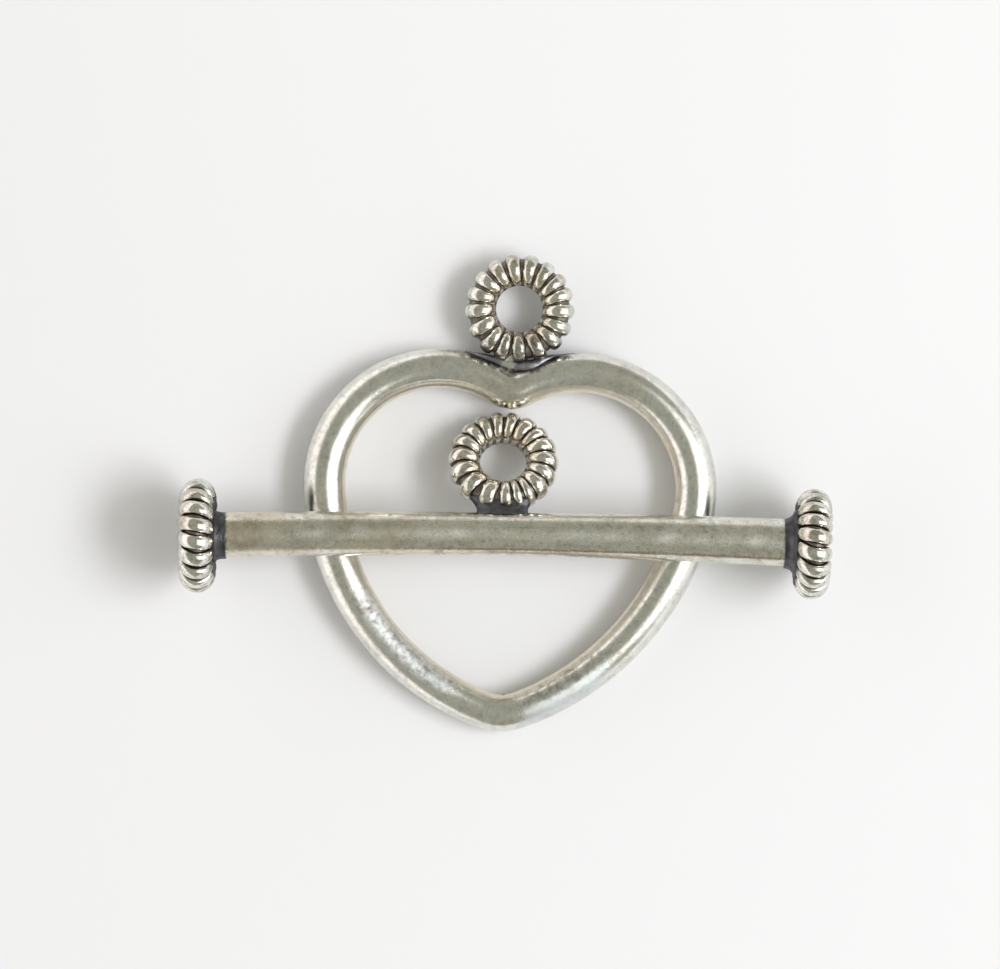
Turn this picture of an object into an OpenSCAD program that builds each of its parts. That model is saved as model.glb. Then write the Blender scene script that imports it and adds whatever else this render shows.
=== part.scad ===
// Toggle clasp: a heart of round wire with a coiled ring soldered in its notch, and a
// loose bar with a coiled ring at each end and a third one soldered at its middle.
// The bar lies across the heart and its middle ring droops into the opening.
// Units are millimetres. X runs along the bar, Y up the heart, Z up off the table.
// The origin is under the middle of the whole clasp, at the level that it lies on.

/* [Heart] */
// Width of the heart over its wire
heart_w = 20.7; // [19:0.1:24]
// Height of the heart from its shoulders to its point, over its wire
heart_h = 19.15; // [18:0.1:22]
// Thickness of the wire at the sides
side_wire_d = 2.14; // [1.8:0.02:2.4]
// Thickness of the wire at the notch
notch_wire_d = 1.96; // [1.6:0.02:2.2]
// Thickness of the wire at the point
point_wire_d = 1.84; // [1.6:0.02:2.2]
// Bend of each shoulder, to the middle of the wire
lobe_r = 5.8; // [5.2:0.1:6.2]
// Bend of each flank, to the middle of the wire
flank_r = 13.1; // [11.5:0.1:18]
// Bend at the point, to the middle of the wire
point_r = 2.75; // [2:0.05:4]
// Bend in the notch, to the middle of the wire
notch_r = 1.15; // [1.15:0.05:2]

/* [Coiled rings] */
// Outside diameter of the heart's ring and of the bar's middle ring
ring_od = 5.55; // [5.2:0.05:6.2]
// Thickness of those two rings, over their winding
ring_tube_d = 1.65; // [1.5:0.05:1.9]
// Outside diameter of the ring at the bar's left end
left_ring_od = 5.7; // [5.2:0.05:6.2]
// Outside diameter of the ring at the bar's right end
right_ring_od = 5.5; // [5.2:0.05:6.2]
// Thickness of the rings at the bar's ends, over their winding
end_ring_tube_d = 1.78; // [1.5:0.02:1.9]
// Thickness of the fine wire that is wound
winding_wire_d = 0.62; // [0.5:0.02:0.7]
// Thickness of the wire inside the winding
core_d = 0.5; // [0.3:0.05:0.7]
// How far off the table the heart's ring is held by its solder
loop_ring_rise = 0.5; // [0.02:0.02:0.6]
// Turns of fine wire on the heart's ring
loop_ring_turns = 17; // [15:1:19]
// Turns of fine wire on each of the bar's rings
bar_ring_turns = 18; // [15:1:19]

/* [Bar] */
// Length of the bar over its end rings
bar_l = 32.2; // [30:0.1:36]
// Thickness of the bar at its left end
bar_left_d = 2.25; // [2:0.05:2.6]
// Thickness of the bar at its middle
bar_middle_d = 2.15; // [2:0.05:2.6]
// Thickness of the bar at its right end
bar_right_d = 2.4; // [2:0.05:2.6]
// How far the bar bows towards its middle ring
bar_bow = 0.27; // [0:0.01:0.5]
// How far the bar is turned on the heart, in degrees
bar_turn = -0.8; // [-3:0.1:3]
// Air between the heart and the bar that lies on it
bar_gap = 0.06; // [0.04:0.01:0.2]
// Air between the bar's middle ring and the heart's notch
notch_gap = 0.12; // [0.08:0.01:1]
// Air under the far edge of the bar's middle ring, which hangs down to the table
rest_gap = 0.08; // [0.04:0.01:0.4]
// How far the middle ring sits above the bar's axis
ring_lift = 0.4; // [0:0.05:0.6]

/* [Solder] */
// Solder between the notch and the heart's ring
post_gap = 0.25; // [0.15:0.05:0.5]
// How far the middle ring's rim sinks into its solder
pad_sink = 0.02; // [0:0.01:0.1]
// Length of the collar at each end of the bar
collar_l = 0.5; // [0.4:0.05:1]

/* [Hidden] */

silver = [0.62, 0.62, 0.57];
blackened = [0.30, 0.27, 0.28];
brassy = [0.66, 0.58, 0.42];

// The heart is bent by hand, so its halves differ a little
LOBE_SKEW = 0.05;
LEVEL_SKEW = 0.155;
FLANK_SKEW = 0.75;
POINT_SHIFT = -0.43;
HEART_SHIFT = 0.24;

// One bend of the heart a row, clockwise from the notch: middle, radius, from, to,
// wire at its start, wire at its end, steps, and 1 or -1 as it bends in or out
MIDDLE = 0;
RADIUS = 1;
FROM = 2;
TO = 3;
WIRE_IN = 4;
WIRE_OUT = 5;
STEPS = 6;
BEND = 7;

WIRE_SIDES = 16;
LOBE_STEPS = 18;
FLANK_STEPS = 12;
POINT_STEPS = 6;
NOTCH_STEPS = 6;

lobe_x = heart_w / 2 - side_wire_d / 2 - lobe_r;
left_lobe = [-lobe_x - LOBE_SKEW, LEVEL_SKEW];
right_lobe = [lobe_x - LOBE_SKEW, -LEVEL_SKEW];
left_lobe_r = lobe_r - LOBE_SKEW;
right_lobe_r = lobe_r + LOBE_SKEW;
shoulder_y = LEVEL_SKEW + left_lobe_r + (side_wire_d + notch_wire_d) / 4;
heart_foot_y = shoulder_y - heart_h;
point = [POINT_SHIFT, heart_foot_y + point_wire_d / 2 + point_r];
notch = meet(left_lobe, left_lobe_r + notch_r, right_lobe, right_lobe_r + notch_r, 1);
right_flank_r = flank_r + FLANK_SKEW;
left_flank_r = flank_r - FLANK_SKEW;
right_flank = meet(right_lobe, right_flank_r - right_lobe_r, point, right_flank_r - point_r, -1);
left_flank = meet(left_lobe, left_flank_r - left_lobe_r, point, left_flank_r - point_r, 1);
notch_left = heading(left_lobe - notch);
notch_right = after(heading(right_lobe - notch), notch_left);
right_tangent = before(heading(right_lobe - right_flank), notch_right + 180);
right_foot = before(heading(point - right_flank), right_tangent);
left_foot = before(heading(point - left_flank), right_foot);
left_tangent = before(heading(left_lobe - left_flank), left_foot);
left_end = before(notch_left + 180, left_tangent);
HEART = [
    [notch, notch_r, notch_left, notch_right, notch_wire_d, notch_wire_d, NOTCH_STEPS, -1],
    [right_lobe, right_lobe_r, notch_right + 180, right_tangent, notch_wire_d, side_wire_d, LOBE_STEPS, 1],
    [right_flank, right_flank_r, right_tangent, right_foot, side_wire_d, point_wire_d, FLANK_STEPS, 1],
    [point, point_r, right_foot, left_foot, point_wire_d, point_wire_d, POINT_STEPS, 1],
    [left_flank, left_flank_r, left_foot, left_tangent, point_wire_d, side_wire_d, FLANK_STEPS, 1],
    [left_lobe, left_lobe_r, left_tangent, left_end, side_wire_d, notch_wire_d, LOBE_STEPS, 1]
];

// Across one turn of the fine wire: share of its half width, share of its height
ACROSS = 0;
HEIGHT = 1;
TURN_SECTION = [[-1, 0], [-0.88, 0.68], [-0.42, 1], [0.42, 1], [0.88, 0.68], [1, 0]];
// Round a ring's thickness, from its rim at 0 to its hole at 180 degrees: angle,
// reach as a share of its radius, and how far the groove between turns is closed
ANGLE = 0;
REACH = 1;
CLOSED = 2;
RING_SECTION = [
    [0, 1, 0], [30, 1, 0], [60, 1, 0.06], [90, 1, 0.3], [120, 1, 0.62], [150, 1.06, 1],
    [180, 1.15, 1], [210, 1.06, 1], [240, 1, 0.62], [270, 1, 0.3], [300, 1, 0.06], [330, 1, 0]
];
// The most of its pitch that a turn may fill
TURN_FILL = 0.48;
// What a reamer takes out of a ring's hole, and how far it is drawn past both faces
REAM = 0.025;
PAST = 1;

// How far each soldered ring is turned, so that its turns fall as on the real ones
LOOP_RING_TURN = 86.3;
BAR_RING_TURN = 13;
// The heart's ring sits this far right of the notch
RING_SHIFT = 0.36;

hole_r = ring_od / 2 - ring_tube_d + REAM;
notch_y = notch[1] - notch_r;
rise = notch_y + notch_wire_d / 2 + post_gap + ring_od;
middle_y = (heart_foot_y + rise) / 2;
ring_y = rise - ring_od / 2;

// Solder as flat ends: wide, deep, tall, as shares of the wire that they stand on, and how
// far it goes into the wire and the ring. The post joins the heart's ring to its notch.
POST_FOOT = notch_wire_d * [1.38, 0.1, 0.66];
POST_HEAD = notch_wire_d * [0.97, 0.1, 0.56];
POST_SINK = notch_wire_d * 0.18;
POST_BITE = ring_tube_d * 0.42;
// The pad joins the bar's middle ring to the bar, and flares where it meets the ring
PAD_FOOT = bar_middle_d * [1.21, 0.09, 0.7];
PAD_NECK = bar_middle_d * [1.17, 0.09, 0.56];
PAD_FLARE = bar_middle_d * [1.55, 0.09, 0.28];
PAD_SINK = bar_middle_d * 0.19;
PAD_RISE = bar_middle_d * 0.17;
PAD_SPREAD = bar_middle_d * 0.4;
// A drop of solder on the notch's inner side, this many degrees up round the wire. It
// stays above the middle ring's rim and clear of its way up.
DROP_D = notch_wire_d * 0.25;
DROP_UP = 37;

RING_SLIDE = -0.15;
// The right end's ring isn't quite square to the bar, by this many degrees
RIGHT_SKEW = -1.3;
BAR_STEPS = 12;
ROD_END = 0.35;
LEFT_FLARE = 0.06;
RIGHT_FLARE = 0.2;
COLLAR_LIP = 0.04;

rod_foot_z = side_wire_d + bar_gap;
axis_z = rod_foot_z + bar_middle_d / 2;
end_x = bar_l / 2 - end_ring_tube_d / 2;
ring_reach = bar_middle_d / 2 - pad_sink + ring_od / 2;
// The middle ring droops until its far edge nearly reaches the table
far_reach = ring_reach + ring_od / 2 - ring_tube_d / 2;
fall = axis_z - ring_tube_d / 2 - rest_gap;
droop = acos(-fall / norm([ring_lift, far_reach])) - atan2(far_reach, ring_lift);
far_y = far_reach * cos(droop) + ring_lift * sin(droop) + ring_tube_d / 2;
bar_y = notch_y - notch_wire_d / 2 - middle_y - notch_gap - far_y - bar_bow;

// Where two circles meet, left (1) or right (-1) of the line between their middles
function meet(a, ra, b, rb, side) =
    let (d = norm(b - a),
         u = (b - a) / d,
         t = (ra * ra - rb * rb + d * d) / (2 * d),
         h = sqrt(max(ra * ra - t * t, 0)))
    a + t * u + side * h * [-u[1], u[0]];
function heading(v) = atan2(v[1], v[0]);
// The same heading brought to within a turn before or after another one
function before(a, b) = a - 360 * ceil((a - b) / 360);
function after(a, b) = a - 360 * floor((a - b) / 360);
function mix(a, b, s) = a + (b - a) * s;

// Sections of the heart's wire: its middle, its outward side, its radius
function heart_sections() = [
    for (b = HEART, i = [0:b[STEPS] - 1])
    let (s = i / b[STEPS],
         a = mix(b[FROM], b[TO], s),
         ray = [cos(a), sin(a), 0],
         r = mix(b[WIRE_IN], b[WIRE_OUT], s) / 2)
    [[b[MIDDLE][0], b[MIDDLE][1], r] + b[RADIUS] * ray, b[BEND] * ray, r]
];

function rod_sections() = [
    for (i = [0:BAR_STEPS])
    let (s = i / BAR_STEPS,
         r = lookup(s, [[0, bar_left_d], [0.5, bar_middle_d], [1, bar_right_d]]) / 2,
         reach = end_x + ROD_END,
         y = bar_bow * (1 - pow(2 * s - 1, 2)))
    [[mix(-reach, reach, s), y, rod_foot_z + r], [0, 1, 0], r]
];

// Round wire through sections, closed on itself or ended flat
module wire(sections, closed) {
    n = len(sections);
    last = closed ? n - 1 : n - 2;
    points = [
        for (c = sections, j = [0:WIRE_SIDES - 1])
        let (a = 360 * j / WIRE_SIDES)
        c[0] + c[2] * (cos(a) * c[1] + sin(a) * [0, 0, 1])
    ];
    skin = [
        for (i = [0:last], j = [0:WIRE_SIDES - 1])
        let (k = (i + 1) % n,
             m = (j + 1) % WIRE_SIDES,
             a = i * WIRE_SIDES + j,
             b = k * WIRE_SIDES + j,
             c = k * WIRE_SIDES + m,
             d = i * WIRE_SIDES + m)
        each [[a, b, c], [a, c, d]]
    ];
    ends = [
        [for (j = [0:WIRE_SIDES - 1]) j],
        [for (j = [WIRE_SIDES - 1:-1:0]) (n - 1) * WIRE_SIDES + j]
    ];
    polyhedron(points, closed ? skin : concat(skin, ends));
}

// A ring of fine wire wound on a thicker one, soldered solid round its hole. Going
// once round the ring's thickness moves on by one turn, one way (1) or the other (-1).
module coiled_ring(od, tube_d, turns, hand) {
    across = len(TURN_SECTION);
    around = len(RING_SECTION);
    n = turns * across;
    tube_r = tube_d / 2;
    middle_r = od / 2 - tube_r;
    points = [
        for (i = [0:n - 1], row = RING_SECTION)
        let (turn = floor(i / across),
             cut = TURN_SECTION[i % across],
             at = middle_r + (tube_r - winding_wire_d / 2) * cos(row[ANGLE]),
             half = min(TURN_FILL * 360 / turns, winding_wire_d / 2 / at * 180 / PI),
             crest = tube_r * row[REACH],
             groove = mix(core_d / 2, crest, row[CLOSED]),
             h = mix(groove, crest, cut[HEIGHT]),
             a = 360 * (turn + hand * row[ANGLE] / 360) / turns + cut[ACROSS] * half,
             r = middle_r + h * cos(row[ANGLE]))
        [r * cos(a), r * sin(a), h * sin(row[ANGLE])]
    ];
    function corner(i, j) =
        let (k = (j < around ? i : i + hand * across) + n)
        (k % n) * around + j % around;
    skin = [
        for (i = [0:n - 1], j = [0:around - 1])
        let (a = corner(i, j), b = corner(i + 1, j), c = corner(i + 1, j + 1), d = corner(i, j + 1))
        each [[a, c, b], [a, d, c]]
    ];
    polyhedron(points, skin);
}

// A coiled ring with its hole reamed round, for a jump ring or a cord
module bail_ring(turns, hand) {
    difference() {
        coiled_ring(ring_od, ring_tube_d, turns, hand);
        cylinder(r = hole_r, h = ring_tube_d + 2 * PAST, center = true, $fn = 96);
    }
}

// Solder run between two flat ends, the first from y = 0 and the second up to y = reach
module fillet(foot, head, reach) {
    hull() {
        translate([0, foot[1] / 2, 0]) cube(foot, center = true);
        translate([0, reach - head[1] / 2, 0]) cube(head, center = true);
    }
}

module heart_wire() {
    wire(heart_sections(), true);
}

module loop_ring() {
    translate([notch[0] + RING_SHIFT, ring_y, ring_tube_d / 2 + loop_ring_rise])
        rotate([0, 0, LOOP_RING_TURN])
            bail_ring(loop_ring_turns, -1);
}

module loop_post() {
    foot_y = notch_y + notch_wire_d / 2 - POST_SINK;
    translate([notch[0] + RING_SHIFT, foot_y, notch_wire_d / 2])
        fillet(POST_FOOT, POST_HEAD, POST_SINK + post_gap + POST_BITE);
}

module solder_drop() {
    translate([notch[0], notch_y, notch_wire_d / 2])
        rotate([-DROP_UP, 0, 0])
            translate([0, -notch_wire_d / 2, 0])
                sphere(d = DROP_D, $fn = 24);
}

module heart_loop() {
    translate([HEART_SHIFT, -middle_y, 0]) {
        color(silver) heart_wire();
        color(silver) loop_ring();
        color(blackened) loop_post();
        color(brassy) solder_drop();
    }
}

module rod() {
    wire(rod_sections(), false);
}

module end_ring(side, od, rod_d, skew) {
    translate([side * end_x, 0, rod_foot_z + rod_d / 2])
        rotate([0, 90, skew])
            coiled_ring(od, end_ring_tube_d, bar_ring_turns, 1);
}

module collar(side, rod_d, flare) {
    foot = end_x - end_ring_tube_d / 4;
    translate([side * foot, 0, rod_foot_z + rod_d / 2])
        rotate([0, -90 * side, 0])
            cylinder(r1 = rod_d / 2 + flare, r2 = rod_d / 2 + COLLAR_LIP,
                h = end_ring_tube_d / 4 + collar_l, $fn = 64);
}

module middle_ring() {
    translate([0, ring_reach, 0])
        rotate([0, 0, BAR_RING_TURN])
            bail_ring(bar_ring_turns, 1);
}

module ring_pad() {
    foot_y = bar_middle_d / 2 - PAD_SINK;
    neck_y = bar_middle_d / 2 + PAD_RISE - PAD_NECK[1];
    translate([0, foot_y, 0]) fillet(PAD_FOOT, PAD_NECK, PAD_SINK + PAD_RISE);
    translate([0, neck_y, 0]) fillet(PAD_NECK, PAD_FLARE, PAD_SPREAD - PAD_RISE + PAD_NECK[1]);
}

module toggle_bar() {
    translate([0, bar_y, 0])
        rotate([0, 0, bar_turn]) {
            color(silver) rod();
            color(silver) end_ring(-1, left_ring_od, bar_left_d, 0);
            color(silver) end_ring(1, right_ring_od, bar_right_d, RIGHT_SKEW);
            color(blackened) collar(-1, bar_left_d, LEFT_FLARE);
            color(blackened) collar(1, bar_right_d, RIGHT_FLARE);
            translate([RING_SLIDE, bar_bow, axis_z])
                rotate([-droop, 0, 0])
                    translate([0, 0, ring_lift]) {
                        color(silver) middle_ring();
                        color(blackened) ring_pad();
                    }
        }
}

heart_loop();
toggle_bar();
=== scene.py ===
"""Looks of the toggle clasp: worn silver wire, blackened windings and solder.

Lengths are in millimetres until a mesh is made, in the row frame: X along the bar, Y up the
heart, Z up off the table. The sizes below repeat the CAD source's named sizes.
"""

import math

import bpy
import numpy as np
from mathutils import Matrix, noise

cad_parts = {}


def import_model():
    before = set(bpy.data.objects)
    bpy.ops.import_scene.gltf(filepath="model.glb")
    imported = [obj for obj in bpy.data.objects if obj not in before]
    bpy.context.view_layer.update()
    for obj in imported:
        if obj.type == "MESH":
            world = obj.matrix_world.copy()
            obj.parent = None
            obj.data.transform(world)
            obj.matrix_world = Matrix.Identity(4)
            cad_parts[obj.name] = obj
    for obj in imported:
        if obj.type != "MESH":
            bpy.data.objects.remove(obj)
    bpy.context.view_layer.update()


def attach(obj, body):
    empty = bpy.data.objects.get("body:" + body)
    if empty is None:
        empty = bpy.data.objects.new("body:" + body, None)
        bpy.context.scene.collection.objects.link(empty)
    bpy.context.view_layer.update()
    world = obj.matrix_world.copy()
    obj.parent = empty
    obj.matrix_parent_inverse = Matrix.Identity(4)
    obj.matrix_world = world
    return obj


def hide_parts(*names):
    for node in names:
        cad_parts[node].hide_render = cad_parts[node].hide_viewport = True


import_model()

MM = 0.001
TAU = 2 * math.pi
random = np.random.default_rng(5603)

# Sizes of the CAD source
HEART_W, HEART_H = 20.7, 19.15
SIDE_D, NOTCH_D, POINT_D = 2.14, 1.96, 1.84
LOBE_R, FLANK_R, POINT_R, NOTCH_R = 5.8, 13.1, 2.75, 1.15
LOBE_SKEW, LEVEL_SKEW, FLANK_SKEW, POINT_SHIFT, HEART_SHIFT = 0.05, 0.155, 0.75, -0.43, 0.24
RING_OD, RING_TUBE_D, WINDING_D = 5.55, 1.65, 0.62
LEFT_OD, RIGHT_OD, END_TUBE_D, RIGHT_SKEW = 5.7, 5.5, 1.78, -1.3
BAR_L, BAR_LEFT_D, BAR_MIDDLE_D, BAR_RIGHT_D, BAR_BOW, BAR_TURN = 32.2, 2.25, 2.15, 2.4, 0.27, -0.8
BAR_GAP, NOTCH_GAP, REST_GAP, RING_LIFT, POST_GAP, PAD_SINK = 0.06, 0.12, 0.08, 0.4, 0.25, 0.02
RING_SHIFT, RING_RISE, RING_SLIDE, ROD_END, REAM = 0.36, 0.5, -0.15, 0.35, 0.025
COLLAR_L = 0.5
DROP_D, DROP_UP = NOTCH_D * 0.25, 37


# The heart's bends, as in the CAD source
def meet(a, ra, b, rb, side):
    a, b = np.array(a), np.array(b)
    d = np.linalg.norm(b - a)
    u = (b - a) / d
    t = (ra * ra - rb * rb + d * d) / (2 * d)
    h = math.sqrt(max(ra * ra - t * t, 0))
    return a + t * u + side * h * np.array([-u[1], u[0]])


def heading(v):
    return math.degrees(math.atan2(v[1], v[0]))


def before(a, b):
    return a - 360 * math.ceil((a - b) / 360)


def after(a, b):
    return a - 360 * math.floor((a - b) / 360)


lobe_x = HEART_W / 2 - SIDE_D / 2 - LOBE_R
left_lobe = np.array([-lobe_x - LOBE_SKEW, LEVEL_SKEW])
right_lobe = np.array([lobe_x - LOBE_SKEW, -LEVEL_SKEW])
left_r, right_r = LOBE_R - LOBE_SKEW, LOBE_R + LOBE_SKEW
shoulder_y = LEVEL_SKEW + left_r + (SIDE_D + NOTCH_D) / 4
foot_y = shoulder_y - HEART_H
point = np.array([POINT_SHIFT, foot_y + POINT_D / 2 + POINT_R])
notch = meet(left_lobe, left_r + NOTCH_R, right_lobe, right_r + NOTCH_R, 1)
flank_right_r, flank_left_r = FLANK_R + FLANK_SKEW, FLANK_R - FLANK_SKEW
right_flank = meet(right_lobe, flank_right_r - right_r, point, flank_right_r - POINT_R, -1)
left_flank = meet(left_lobe, flank_left_r - left_r, point, flank_left_r - POINT_R, 1)
notch_left = heading(left_lobe - notch)
notch_right = after(heading(right_lobe - notch), notch_left)
right_tangent = before(heading(right_lobe - right_flank), notch_right + 180)
right_foot = before(heading(point - right_flank), right_tangent)
left_foot = before(heading(point - left_flank), right_foot)
left_tangent = before(heading(left_lobe - left_flank), left_foot)
left_end = before(notch_left + 180, left_tangent)
# Middle, radius, from, to, wire at its start, wire at its end, out or in
HEART = [
    (notch, NOTCH_R, notch_left, notch_right, NOTCH_D, NOTCH_D, -1),
    (right_lobe, right_r, notch_right + 180, right_tangent, NOTCH_D, SIDE_D, 1),
    (right_flank, flank_right_r, right_tangent, right_foot, SIDE_D, POINT_D, 1),
    (point, POINT_R, right_foot, left_foot, POINT_D, POINT_D, 1),
    (left_flank, flank_left_r, left_foot, left_tangent, POINT_D, SIDE_D, 1),
    (left_lobe, left_r, left_tangent, left_end, SIDE_D, NOTCH_D, 1),
]
hole_r = RING_OD / 2 - RING_TUBE_D + REAM
notch_y = notch[1] - NOTCH_R
rise = notch_y + NOTCH_D / 2 + POST_GAP + RING_OD
middle_y = (foot_y + rise) / 2
ring_y = rise - RING_OD / 2
rod_foot_z = SIDE_D + BAR_GAP
axis_z = rod_foot_z + BAR_MIDDLE_D / 2
end_x = BAR_L / 2 - END_TUBE_D / 2
ring_reach = BAR_MIDDLE_D / 2 - PAD_SINK + RING_OD / 2
far_reach = ring_reach + RING_OD / 2 - RING_TUBE_D / 2
fall = axis_z - RING_TUBE_D / 2 - REST_GAP
droop = math.acos(-fall / math.hypot(RING_LIFT, far_reach)) - math.atan2(far_reach, RING_LIFT)
far_y = far_reach * math.cos(droop) + RING_LIFT * math.sin(droop) + RING_TUBE_D / 2
bar_y = notch_y - NOTCH_D / 2 - middle_y - NOTCH_GAP - far_y - BAR_BOW


def shift(x, y, z):
    return np.array(Matrix.Translation((x, y, z)))


def turn(angle, axis):
    return np.array(Matrix.Rotation(angle, 4, axis))


# Where each part stands
TO_HEART = shift(HEART_SHIFT, -middle_y, 0)
TO_LOOP_RING = TO_HEART @ shift(notch[0] + RING_SHIFT, ring_y, RING_TUBE_D / 2 + RING_RISE)
TO_BAR = shift(0, bar_y, 0) @ turn(math.radians(BAR_TURN), "Z")
TO_PAD = TO_BAR @ shift(RING_SLIDE, BAR_BOW, axis_z) @ turn(-droop, "X") @ shift(0, 0, RING_LIFT)
TO_MIDDLE_RING = TO_PAD @ shift(0, ring_reach, 0)


def to_end_ring(side, rod_d, skew):
    place = TO_BAR @ shift(side * end_x, 0, rod_foot_z + rod_d / 2)
    return place @ turn(math.radians(skew), "Z") @ turn(math.pi / 2, "Y")


# Meshes
def smoothstep(low, high, x):
    t = np.clip((x - low) / (high - low), 0, 1)
    return t * t * (3 - 2 * t)


def unit(v):
    return v / np.linalg.norm(v, axis=-1, keepdims=True)


def wobble(points, scale, seed):
    """Smooth noise in -1 to 1 at each point."""
    return np.array([noise.noise((p[0] * scale + seed, p[1] * scale, p[2] * scale)) for p in points])


def grid_faces(rows, cols, closed):
    i = np.arange(rows if closed else rows - 1)[:, None]
    j = np.arange(cols)[None, :]
    k, m = (i + 1) % rows, (j + 1) % cols
    quads = [i * cols + j, k * cols + j, k * cols + m, i * cols + m]
    return np.stack([np.broadcast_to(q, (len(i), cols)) for q in quads], -1).reshape(-1, 4)


def tube_faces(rows, cols, right_hand=True):
    """Faces and end caps of a tube, all turned outward.

    Its sections' side, their up and the path make a right hand or a left one.
    """
    faces = grid_faces(rows, cols, False)
    first, last = list(range(cols)), [(rows - 1) * cols + j for j in range(cols)]
    if right_hand:
        return faces[:, ::-1], [first[::-1], last]
    return faces, [first, last[::-1]]


def piece(name, body, slot, material, points, faces, matrix=None, ends=(), **attributes):
    """A smooth mesh with flat ends that rides on a body.

    Attributes are float or vector arrays over its points.
    """
    points = np.asarray(points, float).reshape(-1, 3)
    if matrix is not None:
        points = points @ matrix[:3, :3].T + matrix[:3, 3]
    mesh = bpy.data.meshes.new(name)
    mesh.from_pydata((points * MM).tolist(), [], [list(f) for f in faces.tolist()] + [list(e) for e in ends])
    mesh.update()
    mesh.shade_smooth()
    for end in mesh.polygons[len(faces):]:
        end.use_smooth = False
    for key, values in attributes.items():
        values = np.asarray(values, np.float32)
        kind, field = ("FLOAT_VECTOR", "vector") if values.ndim == 2 else ("FLOAT", "value")
        mesh.attributes.new(key, kind, "POINT").data.foreach_set(field, values.ravel())
    obj = bpy.data.objects.new(name, mesh)
    bpy.context.scene.collection.objects.link(obj)
    mesh.materials.append(material)
    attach(obj, body)
    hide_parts("heart_loop" if body == "heart" else "toggle_bar")


def squared(v, power):
    return np.sign(v) * np.abs(v) ** power


def sections(path, side, up, half_w, half_h, sides, power=1.0):
    """Points of oval sections along a path, and each point's place on the straightened wire.

    A power under 1 makes the oval squarer.
    """
    a = np.arange(sides) * TAU / sides
    c, s = (squared(v, power)[None, :, None] for v in (np.cos(a), np.sin(a)))
    w = np.broadcast_to(np.asarray(half_w, float).reshape(-1, 1, 1), (len(path), 1, 1))
    h = np.broadcast_to(np.asarray(half_h, float).reshape(-1, 1, 1), (len(path), 1, 1))
    points = path[:, None] + w * c * side[:, None] + h * s * up[:, None]
    step = np.linalg.norm(np.diff(path, axis=0), axis=1)
    along = np.concatenate([[0], np.cumsum(step)])[:, None]
    run = np.stack([np.broadcast_to(along, points.shape[:2]), (w * c)[..., 0], (h * s)[..., 0]], -1)
    return points, run, a


def inward(path, points, radius):
    """Rays from a wire's points to its middle line, one long at its surface."""
    return (path[:, None] - points).reshape(-1, 3) / np.repeat(radius, points.shape[1])[:, None]


def hand_dents(flat, flat_scale, dent_scale, dent_depth, seed):
    """Depths of the shallow flats and small dents that hand bending and wear leave in a wire."""
    flats = FLAT_DEPTH * (1 + wobble(flat, flat_scale, seed)) / 2
    return flats + dent_depth * np.clip(wobble(flat, dent_scale, seed + DENT_SEED), 0, 1)


def band(angle, middle, half_width):
    """A soft line along a wire, at this angle in degrees round it."""
    return np.exp(-((angle - middle) / half_width) ** 2)


# Materials
class Nodes:
    """Short ways to add and join shader nodes."""

    def __init__(self, name):
        self.material = bpy.data.materials.new(name)
        self.material.use_nodes = True
        self.tree = self.material.node_tree
        self.shader = self.tree.nodes["Principled BSDF"]

    def add(self, kind, links=(), **values):
        node = self.tree.nodes.new(kind)
        for key, value in values.items():
            setattr(node, key, value)
        for socket, value in dict(links).items():
            self.put(node.inputs[socket], value)
        return node

    def put(self, socket, value):
        if isinstance(value, bpy.types.NodeSocket):
            self.tree.links.new(value, socket)
        else:
            socket.default_value = value

    def attribute(self, name):
        node = self.add("ShaderNodeAttribute", attribute_name=name)
        return node.outputs["Vector"] if name == "run" else node.outputs["Fac"]

    def math(self, operation, a, b=0.0, c=0.0):
        return self.add("ShaderNodeMath", {0: a, 1: b, 2: c}, operation=operation).outputs[0]

    def clamp(self, a, low, high, to_low=0.0, to_high=1.0, smooth=True):
        links = {"Value": a, "From Min": low, "From Max": high, "To Min": to_low, "To Max": to_high}
        kind = "SMOOTHSTEP" if smooth else "LINEAR"
        return self.add("ShaderNodeMapRange", links, interpolation_type=kind).outputs["Result"]

    def mix(self, share, a, b):
        node = self.add("ShaderNodeMix", {0: share, 6: a, 7: b}, data_type="RGBA")
        return node.outputs[2]

    def scaled(self, vector, scale, rotation=(0, 0, 0), offset=(0, 0, 0)):
        links = {"Vector": vector, "Scale": scale, "Rotation": rotation, "Location": offset}
        return self.add("ShaderNodeMapping", links).outputs[0]

    def noise(self, vector, scale, detail=3.0, roughness=0.55, distortion=0.0):
        links = {"Vector": vector, "Scale": scale, "Detail": detail, "Roughness": roughness}
        links["Distortion"] = distortion
        return self.add("ShaderNodeTexNoise", links).outputs["Fac"]

    def bump(self, height, strength, distance, normal=None):
        links = {"Height": height, "Strength": strength, "Distance": distance * MM}
        if normal is not None:
            links["Normal"] = normal
        return self.add("ShaderNodeBump", links).outputs[0]


SILVER = (0.84, 0.83, 0.77, 1)
TARNISH = (0.38, 0.38, 0.31, 1)
COOL = (0.62, 0.68, 0.70, 1)
WARM = (0.76, 0.67, 0.50, 1)
RUST = (0.47, 0.37, 0.27, 1)
BLACK = (0.095, 0.090, 0.094, 1)
BROWN = (0.22, 0.175, 0.15, 1)
SOOT_AND_SHADE = (0.15, 0.125, 0.115, 1)
SMOKE_AND_SHADE = (0.25, 0.235, 0.20, 1)
FROST = (0.68, 0.73, 0.77, 1)
BARE = (0.60, 0.60, 0.57, 1)


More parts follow.
